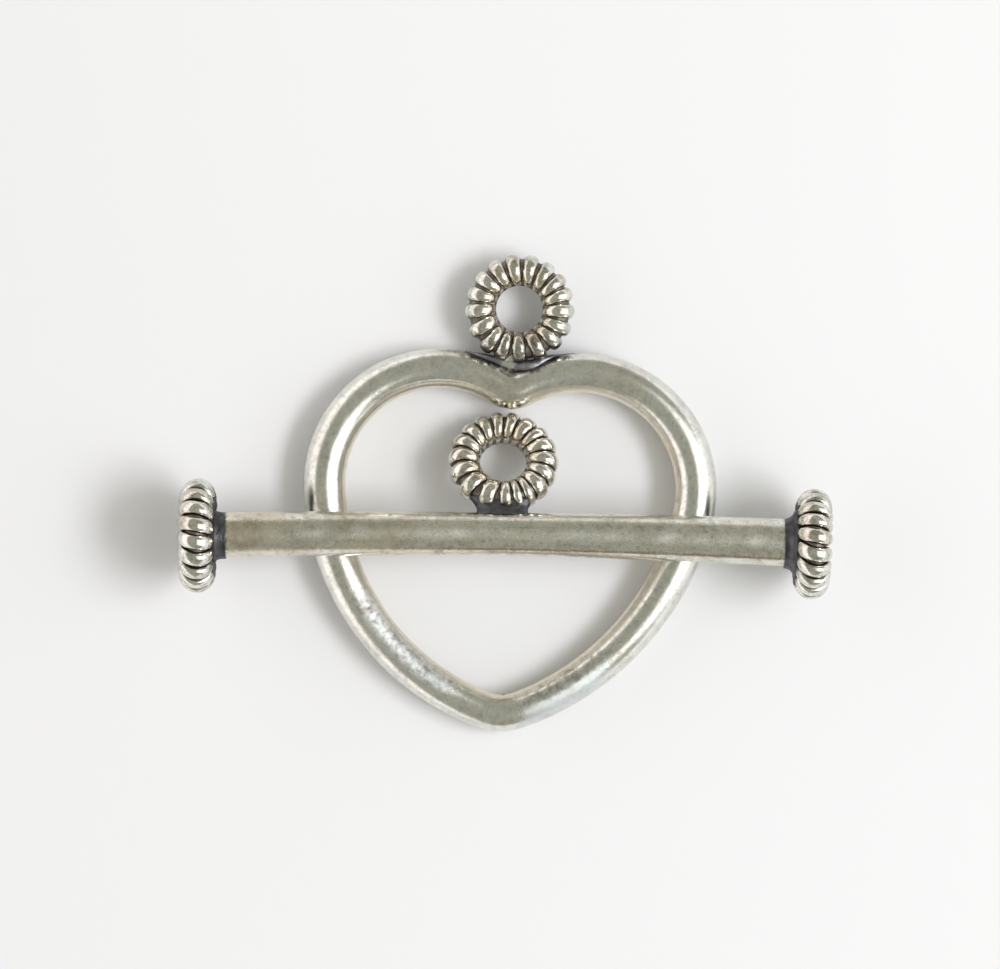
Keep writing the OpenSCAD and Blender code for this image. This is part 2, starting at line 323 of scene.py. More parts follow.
def worn_silver(name, tarnish, polish, marks, cool=0.5):
    """Silver with fine scratches, specks, pits and patches of tarnish, black in grooves and stains, and
    darkened and tinted where its masks carry painted shade and painted reflection.

    How tarnished, polished and marked it is, and how much of it has a cool tint, are given as shares.
    """
    n = Nodes(name)
    run = n.attribute("run")
    place = n.scaled(n.add("ShaderNodeTexCoord").outputs["Object"], (1 / MM,) * 3)
    groove, stain = n.attribute("groove"), n.attribute("stain")
    warm, rust, frost = n.attribute("warm"), n.attribute("rust"), n.attribute("frost")
    patches = n.noise(place, 0.75, 5.0, 0.62, 0.5)
    mottle = n.noise(place, 3.2, 4.0, 0.62, 0.3)
    streaks = n.noise(n.scaled(run, (0.35, 3.2, 3.2)), 1.5, 5.0, 0.62)
    grain = n.noise(place, 11.0, 3.0, 0.65)
    fine = n.noise(place, 24.0, 3.0, 0.65)
    one_way = n.noise(n.scaled(run, (0.9, 15, 15), (0.2, 0.3, 0.62)), 1.0, 3.0, 0.6)
    other_way = n.noise(n.scaled(run, (0.8, 12, 12), (0.5, -0.4, -0.9), (3, 7, 1)), 1.0, 3.0, 0.6)
    scratches = n.math(
        "ADD", n.clamp(one_way, 0.60, 0.72), n.math("MULTIPLY", n.clamp(other_way, 0.60, 0.72), 0.8)
    )
    scratches = n.math("MULTIPLY", scratches, n.clamp(mottle, 0.38, 0.62))
    cells = n.add("ShaderNodeTexVoronoi", {"Vector": place, "Scale": 4.2, "Randomness": 1.0})
    pit_size = n.clamp(n.noise(place, 2.1, 2.0), 0.50, 0.80, 0.0, 0.34, False)
    shallow = n.clamp(n.math("SUBTRACT", pit_size, cells.outputs["Distance"]), 0.0, 0.12)
    dull = n.math("MULTIPLY", n.clamp(patches, 0.42, 0.64), tarnish)
    for spread, low, high, share in (
        (mottle, 0.48, 0.66, 1.1), (grain, 0.52, 0.66, 1.2), (streaks, 0.52, 0.70, 0.6),
    ):
        dull = n.math("MULTIPLY_ADD", n.clamp(spread, low, high), tarnish * share, dull)
    dull = n.math("MULTIPLY_ADD", shallow, 0.20, dull)
    dull = n.clamp(dull, 0.0, 1.0, 0.0, 1.0, False)
    blue = n.clamp(n.noise(place, 1.7, 4.0, 0.66, 0.4), 0.46, 0.62, 0.0, cool)
    colour = n.mix(blue, SILVER, COOL)
    colour = n.mix(dull, colour, TARNISH)
    colour = n.mix(n.math("MULTIPLY", frost, 0.7), colour, FROST)
    cloud = n.clamp(n.noise(place, 1.3, 4.0, 0.6), 0.30, 0.62, 0.35, 1.0)
    # The warm tint is partly the wire's own tone and partly a painted reflection of the shaded floor on the
    # heart wire's inner side
    colour = n.mix(n.math("MULTIPLY", warm, cloud), colour, WARM)
    # The rust tint is heat tint, rust patches and the bar's brown line, and also the heart's tan line, which
    # is painted reflection
    colour = n.mix(n.math("MULTIPLY", rust, n.clamp(mottle, 0.34, 0.58, 0.25, 1.0)), colour, RUST)
    # Brown and dark from the groove mask: oxide in grooves, the bar's brown line, and painted shade at the
    # rings' inner ends
    edge = n.math("ADD", groove, n.math("MULTIPLY", n.math("SUBTRACT", grain, 0.5), 0.7))
    dark = n.clamp(edge, 0.46, 0.66)
    colour = n.mix(n.clamp(edge, 0.10, 0.52), colour, BROWN)
    colour = n.mix(dark, colour, SOOT_AND_SHADE)
    # Smoke and black from the stain mask: oxide and solder stains, and painted shade on the heart's frosted
    # lower sides
    ragged = n.math("ADD", stain, n.math("MULTIPLY", n.math("SUBTRACT", mottle, 0.5), 1.0))
    stained = n.clamp(ragged, 0.38, 0.60)
    colour = n.mix(n.clamp(ragged, 0.05, 0.50, 0.0, 0.8), colour, SMOKE_AND_SHADE)
    colour = n.mix(stained, colour, BLACK)
    n.put(n.shader.inputs["Base Color"], colour)
    n.shader.inputs["Metallic"].default_value = 1.0
    rough = n.math("MULTIPLY_ADD", n.clamp(patches, 0.3, 0.7), 0.08, polish)
    rough = n.math("MULTIPLY_ADD", n.clamp(mottle, 0.4, 0.7), 0.06, rough)
    rough = n.math("MULTIPLY_ADD", frost, 0.26, rough)
    rough = n.math("MULTIPLY_ADD", n.math("MAXIMUM", dark, stained), 0.20, rough)
    n.put(n.shader.inputs["Roughness"], rough)
    rub = n.math("MULTIPLY_ADD", frost, 2.4, 0.6)
    normal = n.bump(n.math("MULTIPLY", fine, rub), 0.40 * marks, 0.012)
    normal = n.bump(n.math("MULTIPLY", grain, rub), 0.40 * marks, 0.022, normal)
    normal = n.bump(mottle, 0.10 * marks, 0.045, normal)
    normal = n.bump(n.math("MULTIPLY", scratches, -1.0), 0.35 * marks, 0.008, normal)
    normal = n.bump(n.math("MULTIPLY", shallow, -1.0), 0.35 * marks, 0.012, normal)
    n.put(n.shader.inputs["Normal"], normal)
    return n.material


def black_solder(name, dark, pale, polish=0.42):
    """Oxidised solder: blackened silver that shines softly where it is smooth."""
    n = Nodes(name)
    place = n.scaled(n.add("ShaderNodeTexCoord").outputs["Object"], (1 / MM,) * 3)
    lumps = n.noise(place, 1.6, 3.0, 0.6, 0.4)
    grain = n.noise(place, 8.0, 3.0, 0.6)
    bare = n.attribute("bare")
    shown = n.clamp(n.math("ADD", bare, n.math("MULTIPLY", n.math("SUBTRACT", grain, 0.5), 0.8)), 0.40, 0.70)
    colour = n.mix(n.clamp(lumps, 0.36, 0.66), dark, pale)
    colour = n.mix(shown, colour, BARE)
    n.put(n.shader.inputs["Base Color"], colour)
    n.shader.inputs["Metallic"].default_value = 1.0
    rough = n.clamp(lumps, 0.3, 0.7, polish + 0.06, polish - 0.06)
    n.put(n.shader.inputs["Roughness"], n.math("MULTIPLY_ADD", shown, -0.10, rough))
    normal = n.bump(lumps, 0.6, 0.10)
    normal = n.bump(grain, 0.6, 0.020, normal)
    n.put(n.shader.inputs["Normal"], normal)
    return n.material


heart_silver = worn_silver("heart_silver", tarnish=0.17, polish=0.13, marks=0.9)
bar_silver = worn_silver("bar_silver", tarnish=0.42, polish=0.17, marks=0.9)
ring_silver = worn_silver("ring_silver", tarnish=0.42, polish=0.09, marks=0.55, cool=0.15)
solder_black = black_solder("solder_black", (0.175, 0.175, 0.192, 1), (0.31, 0.305, 0.325, 1))
collar_black = black_solder("collar_black", (0.070, 0.070, 0.078, 1), (0.125, 0.123, 0.132, 1), 0.50)
core_brown = black_solder("core_brown", (0.16, 0.135, 0.122, 1), (0.25, 0.21, 0.19, 1), 0.52)


# Heart wire
WIRE_SIDES = 96
WIRE_STEP = 0.10
# Depths of the flats and dents in both thick wires, and of the worn step on the left shoulder
FLAT_DEPTH, HEART_DENT, BAR_DENT, SHOULDER_STEP = 0.006, 0.003, 0.004, 0.032
# How far the dents' noise lies from that of the flats
DENT_SEED = 6.3
# The tan line along the inner side, a painted reflection of the shaded floor: its angle round the wire and
# its half width, in degrees
TAN_LINE = (147, 3.5)
# The dark speck inside the point, in the heart's own frame, and its width as a share of its height
SPECK, SPECK_WIDE = (-0.34, -10.27, 1.15), 0.6
# Where the notch was heated for soldering: x, y and half sizes
HEATED = (0.2, 5.0, 1.3, 0.9)
# The lower edge of the dark solder and oxide in the notch: x, y from the lobes' middles
CRESCENT = np.array([
    (-2.60, 7.02), (-2.34, 6.84), (-1.59, 6.41), (-1.09, 6.19), (-0.69, 6.04), (-0.24, 5.90),
    (0.16, 5.81), (0.51, 5.72), (0.86, 5.69), (1.21, 5.76), (1.56, 5.92), (1.91, 6.14),
    (2.51, 6.46), (3.46, 6.74), (3.80, 6.90),
])
# The seam of the straightened wire's streaks lies this share of the way round, under the bar
SEAM = 0.325


def around(points, a):
    """Each point's angle round the wire in degrees, and how far it faces outward and up."""
    a = np.broadcast_to(a[None, :], points.shape[:2]).ravel()
    return np.degrees(a), np.cos(a), np.sin(a)


def heart_path():
    path, outward, radius = [], [], []
    for middle, bend_r, start, end, wire_in, wire_out, bend in HEART:
        steps = max(8, int(abs(math.radians(end - start)) * bend_r / WIRE_STEP))
        for i in range(steps):
            s = i / steps
            a = math.radians(start + (end - start) * s)
            ray = np.array([math.cos(a), math.sin(a), 0])
            r = (wire_in + (wire_out - wire_in) * s) / 2
            path.append(np.array([middle[0], middle[1], r]) + bend_r * ray)
            outward.append(bend * ray)
            radius.append(r)
    back = -int(SEAM * len(path))
    return [np.roll(np.array(rows), back, 0) for rows in (path, outward, radius)]


def heart_wire():
    path, outward, radius = heart_path()
    up = np.broadcast_to([0.0, 0.0, 1.0], path.shape)
    points, run, a = sections(path, outward, up, radius, radius, WIRE_SIDES)
    angle, facing, above = around(points, a)
    flat = points.reshape(-1, 3)
    dents = hand_dents(flat, 0.9, 2.3, HEART_DENT, 3.1)
    # The left shoulder is worn back by a small step along its inner side
    x, y = flat[:, 0], flat[:, 1]
    shoulder = smoothstep(3.2, 4.2, y) * smoothstep(-7.2, -6.2, x) * smoothstep(-0.6, -1.4, x)
    dents += SHOULDER_STEP * smoothstep(121, 128, angle) * smoothstep(215, 180, angle) * shoulder
    flat = flat + inward(path, points, radius) * dents[:, None]
    x, y = flat[:, 0], flat[:, 1]
    edge = np.interp(x, CRESCENT[:, 0], CRESCENT[:, 1])
    inside = (x > CRESCENT[0, 0]) & (x < CRESCENT[-1, 0])
    stain = smoothstep(-0.30, 0.30, y - edge) * inside
    # Painted reflection: tan on the side facing into the heart, where it mirrors the shaded floor, and a
    # little along the outermost edge
    warm = smoothstep(0.55, 0.95, -facing) * 0.8 + smoothstep(0.90, 1.0, facing) * 0.3
    # Reddish brown on top of the heated notch
    hot_x, hot_y, hot_w, hot_h = HEATED
    heated = np.exp(-((x - hot_x) / hot_w) ** 2 - ((y - hot_y) / hot_h) ** 2)
    rust = 0.30 * heated + 0.20 * smoothstep(0.1, 0.6, wobble(flat, 0.45, 51.0))
    # The tan line is painted reflection, carried with the rust
    rust = np.maximum(rust, 0.55 * band(angle, *TAN_LINE))
    speck = np.linalg.norm((flat - SPECK) * (1, 1, SPECK_WIDE), axis=1)
    stain = np.maximum(stain, 0.9 * smoothstep(0.20, 0.10, speck))
    # Frosted by fine rubbing along the lower left side and at the lower right
    left = smoothstep(-3.8, -6.2, y) * smoothstep(-10.8, -9.6, y) * smoothstep(-1.8, -3.2, x)
    right = smoothstep(0.2, 1.2, x) * smoothstep(5.6, 3.8, x) * smoothstep(-7.0, -8.6, y)
    frost = np.maximum(left, right) * (0.85 + 0.25 * wobble(flat, 1.3, 21.0)) * smoothstep(0.1, 0.5, above)
    frost *= np.where(left > right, smoothstep(0.45, -0.05, facing), smoothstep(-0.45, 0.15, facing))
    # Painted shade on the inward half of the frosted lower sides, not along their edges, to dim the
    # highlight there
    left_painted_shade = smoothstep(0.30, 0.0, facing) * smoothstep(-0.85, -0.6, facing)
    right_painted_shade = smoothstep(0.25, -0.05, facing) * smoothstep(-0.85, -0.65, facing)
    stain = np.maximum(stain, np.maximum(0.28 * left * left_painted_shade, 0.24 * right * right_painted_shade))
    # Out, up and the path make a right hand, so the faces are turned over to look outward
    faces = grid_faces(len(path), WIRE_SIDES, True)[:, [0, 3, 2, 1]]
    piece(
        "heart_wire", "heart", "silver", heart_silver, flat, faces, TO_HEART, run=run.reshape(-1, 3),
        stain=stain, warm=warm, rust=rust, frost=frost, groove=np.zeros(len(flat)),
    )


# Coiled rings
# Half the thickness of the core with its solder, and how far it stays back from the hole
CORE_HALF, CORE_INSET = 0.56, 0.012
TURN_STEPS = 64
TURN_SIDES = 24
# Each turn leans by this share of its pitch
LEAN = 0.11
# Share of each turn's advance that is made on the hidden inner side
FLAT_LATE, END_LATE = 0.75, 0.30
# The widest that a turn is worn to, as a share of its wire
HEART_WORN, MIDDLE_WORN, END_WORN = 1.17, 1.27, 1.20
# The deepest that a turn sinks, and the narrowest that it is as a share of its pitch
SINK, NARROWEST = 0.022, 0.93
# How dull the heart's ring is at its foot, where solder has run over it
HEART_FOOT = 0.36
# Share of its pitch that a turn fills at most, and how square it is worn
TURN_FILL, TURN_POWER = 0.95, 0.84
# Grooves between turns, in degrees round the ring, as they fall on the real ones
LOOP_GROOVES = [
    108.7, 86.3, 64.8, 44.0, 25.9, 8.1, -14.4, -34.3, -53.1, -79.1, -102.6, -121.2, -141.8,
    -166.7, -188.7, -209.1, -229.9, -251.3,
]
MIDDLE_GROOVES = [
    108.0, 88.8, 70.0, 47.5, 30.6, 10.2, -10.4, -29.3, -49.5, -63.5, -77.5, -94.5, -124.0,
    -149.4, -172.4, -194.7, -214.1, -232.6, -252.0,
]
# On the end rings the angle is from straight up, positive towards the heart's ring
LEFT_GROOVES = [61.6, 41.6, 22.8, 2.5, -16.5, -35.9, -54.1]
RIGHT_GROOVES = [55.0, 38.1, 20.2, 0.0, -22.0, -40.3, -57.0]


def whole_round(grooves, turns):
    """The seen grooves with the hidden ones spread evenly between the last and the first."""
    spare = turns - (len(grooves) - 1)
    gap = (grooves[-1] - (grooves[0] - 360)) / spare
    return grooves + [grooves[-1] - gap * (i + 1) for i in range(spare)]


def winding_path(od, tube_d, grooves, hand, from_top):
    """A winding's angle round the tube, middle line, outward rays and half pitch at each step."""
    grooves = np.radians(np.array(grooves if hand < 0 else grooves[::-1]))
    turns = len(grooves) - 1
    middle = (grooves[:-1] + grooves[1:]) / 2
    width = np.abs(np.diff(grooves))
    t = np.arange(turns * TURN_STEPS) / TURN_STEPS
    phi = TAU * (t % 1)
    late = FLAT_LATE if from_top else END_LATE
    place = t + LEAN * np.cos(phi) - late * np.sin(phi) / TAU
    place -= 0.25 - late / TAU if from_top else LEAN
    index = np.arange(-2, turns + 2)
    angles = middle[index % turns] + hand * TAU * np.floor(index / turns)
    theta = np.interp(place, index, angles)
    sink = random.uniform(0.0, SINK, turns)
    fat = random.uniform(NARROWEST, 1.0, turns)
    across = np.interp(place, index, (width * fat)[index % turns]) / 2
    reach = (tube_d - WINDING_D) / 2 - np.interp(place, index, sink[index % turns])
    rho = (od - tube_d) / 2 + reach * np.cos(phi)
    flat = np.stack([np.cos(theta), np.sin(theta), np.zeros_like(theta)], -1)
    path = rho[:, None] * flat
    path[:, 2] = reach * np.sin(phi)
    out = np.cos(phi)[:, None] * flat + np.sin(phi)[:, None] * np.array([0, 0, 1.0])
    return phi, path, out, across * rho


def coil(name, body, slot, od, tube_d, grooves, hand, from_top, matrix, worn, ream, inside, foot):
    """Fine wire wound round a ring's thicker wire, turn by turn between its grooves.

    Oxide darkens its foot, or else its face towards the bar, up (1) or down (-1) its own axis.
    """
    turns = len(grooves) - 1
    phi, path, out, half_pitch = winding_path(od, tube_d, grooves, hand, from_top)
    along = unit(np.roll(path, -1, 0) - np.roll(path, 1, 0))
    side = unit(np.cross(along, out))
    wire_r = WINDING_D / 2
    half = np.minimum(half_pitch * TURN_FILL, wire_r * worn)
    points, run, a = sections(path, side, out, half, wire_r, TURN_SIDES, TURN_POWER)
    flat = points.reshape(-1, 3)
    # Each turn is a little worn, here more and there less
    flat *= 1 - 0.0035 * (1 + wobble(flat, 2.1, 5.0 + turns))[:, None] / 2
    if ream:
        far = np.linalg.norm(flat[:, :2], axis=1)
        flat[:, :2] *= (np.maximum(far, ream) / far)[:, None]
    crest = np.broadcast_to(squared(np.sin(a), TURN_POWER)[None, :], points.shape[:2])
    tight = smoothstep(-0.1, -0.95, np.cos(phi))[:, None]
    groove = 1 - smoothstep(0.12 + 0.10 * tight, 0.66 + 0.20 * tight, crest)
    # Painted shade, partly oxide too: darker at the turns' inner ends round the hole
    groove = np.maximum(groove, 0.24 * smoothstep(-0.60, -1.0, np.cos(phi))[:, None])
    warm = np.broadcast_to(smoothstep(0.3, -0.6, np.cos(phi))[:, None], points.shape[:2]) * 0.4
    rust = 0.5 * smoothstep(0.0, 0.5, wobble(flat, 0.8, 61.0 + turns))
    if inside:
        far = np.linalg.norm(flat[:, :2], axis=1)
        facing = inside * flat[:, 2] / (tube_d / 2)
        stain = smoothstep(0.25, 0.85, facing) * smoothstep(od * 0.44, od * 0.30, far)
    else:
        stain = 0.7 * smoothstep(od * 0.41, od * 0.49, -flat[:, 1])
        stain = np.maximum(stain, foot * smoothstep(od * 0.16, od * 0.34, -flat[:, 1]))
    piece(
        name, body, slot, ring_silver, flat, grid_faces(len(path), TURN_SIDES, True), matrix,
        run=run.reshape(-1, 3), groove=groove.ravel(), warm=warm.ravel(), rust=rust, stain=stain,
        frost=np.zeros(len(flat)),
    )


def core(name, body, slot, od, tube_d, matrix):
    """The thicker wire inside a winding, soldered flat round the hole and dark between the turns."""
    steps, sides = 144, 40
    theta = np.arange(steps) * TAU / steps
    ring_r = od / 2 - tube_d / 2
    a = np.arange(sides) * TAU / sides
    c, v = np.cos(a), np.sin(a)
    nose = tube_d / 2 - REAM - CORE_INSET
    half = CORE_HALF + (nose - CORE_HALF) * smoothstep(0.72, 1.0, -c)
    r = ring_r + half * c
    points = np.stack([
        np.cos(theta)[:, None] * r[None, :], np.sin(theta)[:, None] * r[None, :],
        np.broadcast_to(half * v, (steps, sides)),
    ], -1)
    flat = points.reshape(-1, 3)
    piece(
        name, body, slot, core_brown, flat, grid_faces(steps, sides, True), matrix,
        run=flat, bare=np.zeros(len(flat)),
    )


def ring(
    name, body, slot, od, tube_d, grooves, hand, from_top, matrix, worn, ream=None, inside=0, foot=0.0
):
    """A wound ring: its hole is reamed to a radius, or else a bar fills it."""
    coil(
        name + "_winding", body, slot, od, tube_d, grooves, hand, from_top, matrix, worn,
        ream, inside, foot,
    )
    core(name + "_core", body, slot, od, tube_d, matrix)


# Solder
# Steps between the rows of a table, and how square a section is
ROW_STEPS = 6
SOLDER_POWER = 0.7


def solder(name, body, slot, metal, rows, matrix, plane, seed, rubbed=None, sides=40, lumps=0.03):
    """Solder lofted through rounded sections: at, half width, half height, across, up, and how bare.

    A rubbed spot is bare too: its x, y and half sizes.
    """
    rows = np.array(rows, float)
    steps = ROW_STEPS * (len(rows) - 1) + 1
    s = np.linspace(0, len(rows) - 1, steps)
    knots = np.arange(len(rows))
    at, half_w, half_h, across, level, bare = (smooth_rows(s, knots, rows[:, c]) for c in range(6))
    a = np.arange(sides) * TAU / sides
    c, v = squared(np.cos(a), SOLDER_POWER), squared(np.sin(a), SOLDER_POWER)
    across = across[:, None] + half_w[:, None] * c
    level = level[:, None] + half_h[:, None] * v
    along = np.broadcast_to(at[:, None], across.shape)
    if plane == "Y":
        points = np.stack([across, along, level], -1)
    else:
        points = np.stack([along, across, level], -1)
    flat = points.reshape(-1, 3)
    flat = flat + lumps * np.stack([wobble(flat, 1.7, seed + 10 * k) for k in range(3)], -1)
    faces, ends = tube_faces(steps, sides, plane == "X")
    # Starting at another corner splits each face along its other diagonal
    faces = np.roll(faces, 1, axis=1)
    bare = np.repeat(bare, sides)
    if rubbed:
        spot_x, spot_y, spot_w, spot_h = rubbed
        spot = np.exp(-((flat[:, 0] - spot_x) / spot_w) ** 2 - ((flat[:, 1] - spot_y) / spot_h) ** 2)
        bare = np.maximum(bare, spot)
    piece(name, body, slot, metal, flat, faces, matrix, ends, run=flat, bare=bare)


def smooth_rows(s, knots, values):
    """Catmull-Rom through a table's column."""
    i = np.clip(np.floor(s).astype(int), 0, len(knots) - 2)
    u = s - i
    p = np.concatenate([[values[0]], values, [values[-1]]])
    p0, p1, p2, p3 = p[i], p[i + 1], p[i + 2], p[i + 3]
    return 0.5 * (
        2 * p1 + (p2 - p0) * u + (2 * p0 - 5 * p1 + 4 * p2 - p3) * u**2
        + (3 * p1 - p0 - 3 * p2 + p3) * u**3
    )


heart_wire()
ring(
    "heart_ring", "heart", "silver", RING_OD, RING_TUBE_D, LOOP_GROOVES, -1, True, TO_LOOP_RING,
    HEART_WORN, ream=hole_r, foot=HEART_FOOT,
)
ring(
    "middle_ring", "bar", "bar_silver", RING_OD, RING_TUBE_D, MIDDLE_GROOVES, 1, True,
    TO_MIDDLE_RING, MIDDLE_WORN, ream=hole_r,
)
BAR_TURNS = 18
for side, name, od, rod_d, skew, seen in (
    (-1, "left_end_ring", LEFT_OD, BAR_LEFT_D, 0, LEFT_GROOVES),
    (1, "right_end_ring", RIGHT_OD, BAR_RIGHT_D, RIGHT_SKEW, RIGHT_GROOVES),
):
    # The ring's own angle runs from straight down, so straight up is half a round on
    grooves = sorted([180 - g for g in whole_round(seen, BAR_TURNS)], reverse=True)
    matrix = to_end_ring(side, rod_d, skew)
    ring(name, "bar", "bar_silver", od, END_TUBE_D, grooves, 1, False, matrix, END_WORN, inside=-side)


# Bar
# A brown line along its lower side, and the rubbed top: angle round the bar and half width, in degrees
BROWN_LINE = (134, 5.0)
RUBBED_TOP = (88, 22)
# How softly the oxide of a collar ends on the bar
COLLAR_FADE = 0.25


def rod():
    steps = 320
    s = np.linspace(0, 1, steps + 1)
    r = np.interp(s, [0, 0.5, 1], [BAR_LEFT_D, BAR_MIDDLE_D, BAR_RIGHT_D]) / 2
    reach = end_x + ROD_END
    y = BAR_BOW * (1 - (2 * s - 1) ** 2)
    path = np.stack([reach * (2 * s - 1), y, rod_foot_z + r], -1)
    side = np.broadcast_to([0.0, 1.0, 0.0], path.shape)
    up = np.broadcast_to([0.0, 0.0, 1.0], path.shape)
    points, run, a = sections(path, side, up, r, r, WIRE_SIDES)
    flat = points.reshape(-1, 3)
    flat = flat + inward(path, points, r) * hand_dents(flat, 0.8, 2.0, BAR_DENT, 13.1)[:, None]
    x = flat[:, 0]
    collar_in = end_x - END_TUBE_D / 2 - COLLAR_L
    ragged_x = np.abs(x) + 0.06 * wobble(flat, 1.6, 4.0)
    stain = smoothstep(collar_in - COLLAR_FADE, collar_in + COLLAR_FADE, ragged_x)
    warm = 0.25 + 0.45 * smoothstep(2, -12, x) * smoothstep(-0.4, 0.4, wobble(flat, 0.35, 71.0))
    angle = around(points, a)[0]
    line = band(angle, *BROWN_LINE) * (0.45 + 0.55 * smoothstep(-8, 0, x))
    rust = 0.9 * line + 0.5 * smoothstep(0.05, 0.5, wobble(flat, 0.5, 81.0)) * smoothstep(3, -9, x)
    # Rubbed along its top, so that it glitters there
    frost = band(angle, *RUBBED_TOP) * (0.22 + 0.30 * wobble(flat, 1.1, 31.0))
    faces, ends = tube_faces(steps + 1, WIRE_SIDES)
    piece(
        "bar_rod", "bar", "bar_silver", bar_silver, flat, faces, TO_BAR, ends,
        run=run.reshape(-1, 3), stain=stain, warm=warm, rust=rust, frost=frost, groove=0.42 * line,
    )


rod()

# The solder post: at y from the notch's edge, half width, half height, x, z, bareness
edge_y = notch_y + NOTCH_D / 2
solder("heart_ring_solder", "heart", "silver", solder_black, [
    (edge_y - 0.35, 0.48, 0.30, notch[0] - 0.14, 0.92, 0.3),
    (edge_y - 0.10, 0.62, 0.36, notch[0] - 0.12, 0.96, 0.5),
    (edge_y + 0.08, 0.66, 0.40, notch[0] - 0.06, 1.00, 0.8),
    (edge_y + 0.25, 0.64, 0.44, notch[0] + 0.02, 1.06, 0.9),
    (edge_y + 0.50, 0.62, 0.50, notch[0] + 0.12, 1.14, 0.8),
    (edge_y + 0.85, 0.60, 0.54, notch[0] + 0.28, 1.22, 0.7),
    (edge_y + 1.25, 0.46, 0.46, notch[0] + 0.32, 1.30, 0.5),
], TO_HEART, "Y", seed=2.0)
# Solder drawn along the valley between the ring and the notch, by x
solder("notch_solder", "heart", "silver", solder_black, [
    (notch[0] - 2.35, 0.05, 0.14, edge_y + 0.93, 0.97, 0.0),
    (notch[0] - 1.85, 0.12, 0.34, edge_y + 0.77, 1.00, 0.1),
    (notch[0] - 1.30, 0.21, 0.50, edge_y + 0.60, 1.02, 0.2),
    (notch[0] - 0.60, 0.26, 0.54, edge_y + 0.38, 1.05, 0.2),
    (notch[0] + 0.20, 0.30, 0.62, edge_y + 0.19, 1.08, 0.1),
    (notch[0] + 0.75, 0.34, 0.67, edge_y + 0.14, 1.08, 0.0),
    (notch[0] + 1.20, 0.34, 0.66, edge_y + 0.23, 1.06, 0.0),
    (notch[0] + 1.60, 0.29, 0.58, edge_y + 0.40, 1.03, 0.0),
    (notch[0] + 2.10, 0.18, 0.40, edge_y + 0.60, 0.99, 0.0),
    (notch[0] + 2.55, 0.06, 0.14, edge_y + 0.74, 0.95, 0.0),
], TO_HEART, "X", seed=7.0, rubbed=(notch[0] - 0.2, edge_y + 0.22, 0.46, 0.38))


def solder_drop():
    """A small brassy drop on the notch's inner side, above the middle ring's rim."""
    steps, sides = 24, 32
    t = (np.arange(steps) + 0.5) * math.pi / steps
    path = np.zeros((steps, 3))
    path[:, 2] = -DROP_D / 2 * np.cos(t) * np.interp(t, [0, math.pi], [1.0, 0.9])
    r = DROP_D / 2 * np.sin(t)
    side = np.broadcast_to([1.0, 0.0, 0.0], path.shape)
    up = np.broadcast_to([0.0, 1.0, 0.0], path.shape)
    points, run = sections(path, side, up, r, r * 0.96, sides)[:2]
    flat = points.reshape(-1, 3)
    flat = flat * (1 - 0.05 * (1 + wobble(flat, 5.0, 90.0)) / 2)[:, None]
    faces, ends = tube_faces(steps, sides)
    place = shift(notch[0], notch_y, NOTCH_D / 2) @ turn(-math.radians(DROP_UP), "X")
    place = TO_HEART @ place @ shift(0, -NOTCH_D / 2, 0)
    zero = np.zeros(len(flat))
    piece(
        "solder_drop", "heart", "silver", ring_silver, flat, faces, place, ends,
        run=run.reshape(-1, 3), groove=zero, warm=zero + 1, rust=zero + 0.25, stain=zero, frost=zero,
    )


solder_drop()
# The pad between the bar and its middle ring, by y from the bar's axis
edge_y = BAR_MIDDLE_D / 2
solder("middle_ring_solder", "bar", "bar_silver", collar_black, [
    (edge_y - 0.40, 1.25, 0.58, 0, -0.08, 0.0),
    (edge_y - 0.05, 1.28, 0.52, 0, -0.08, 0.0),
    (edge_y + 0.20, 1.28, 0.46, 0, -0.06, 0.0),
    (edge_y + 0.45, 1.42, 0.44, 0, 0.00, 0.0),
    (edge_y + 0.65, 1.60, 0.40, 0, 0.00, 0.0),
    (edge_y + 0.85, 1.66, 0.32, 0, 0.00, 0.0),
    (edge_y + 1.05, 1.30, 0.22, 0, 0.00, 0.0),
], TO_PAD, "Y", seed=11.0)


# A collar's profile: x from its far edge, and how much of its flare it has there
COLLAR_ROWS = np.array([
    (-0.02, -0.10), (0.0, 0.0), (0.08, 0.10), (0.22, 0.4), (0.34, 0.9), (0.44, 1.7), (0.54, 2.4),
    (0.9, 2.4),
])
# Its thickness at the far edge, and the most that its rough skin stands out
COLLAR_SKIN, COLLAR_ROUGH = 0.025, 0.01


def collar(side, rod_d, flare):
    """The dark solder round the bar where it goes into its end ring."""
    name = ("left" if side < 0 else "right") + "_collar"
    rod_r = rod_d / 2
    far = end_x - END_TUBE_D / 2 - COLLAR_L
    knots = np.arange(len(COLLAR_ROWS))
    steps, sides = ROW_STEPS * (len(knots) - 1) + 1, 72
    s = np.linspace(0, len(knots) - 1, steps)
    x, share = (smooth_rows(s, knots, COLLAR_ROWS[:, c]) for c in range(2))
    r = rod_r + COLLAR_SKIN + (flare - COLLAR_SKIN) * share
    path = np.stack([side * (far + x), np.zeros(steps), np.full(steps, rod_foot_z + rod_r)], -1)
    up = np.broadcast_to([0.0, 0.0, 1.0], path.shape)
    across = np.broadcast_to([0.0, 1.0, 0.0], path.shape)
    points, run = sections(path, across, up, r, r, sides)[:2]
    flat = points.reshape(-1, 3)
    rough = np.minimum(0.018 * wobble(flat, 2.6, 40 + side), COLLAR_ROUGH)
    flat = flat - inward(path, points, r) * rough[:, None]
    faces, ends = tube_faces(steps, sides, side > 0)
    piece(
        name, "bar", "bar_silver", collar_black, flat, faces, TO_BAR, ends,
        run=run.reshape(-1, 3), bare=np.zeros(len(flat)),
    )


collar(-1, BAR_LEFT_D, flare=0.06)
collar(1, BAR_RIGHT_D, flare=0.20)


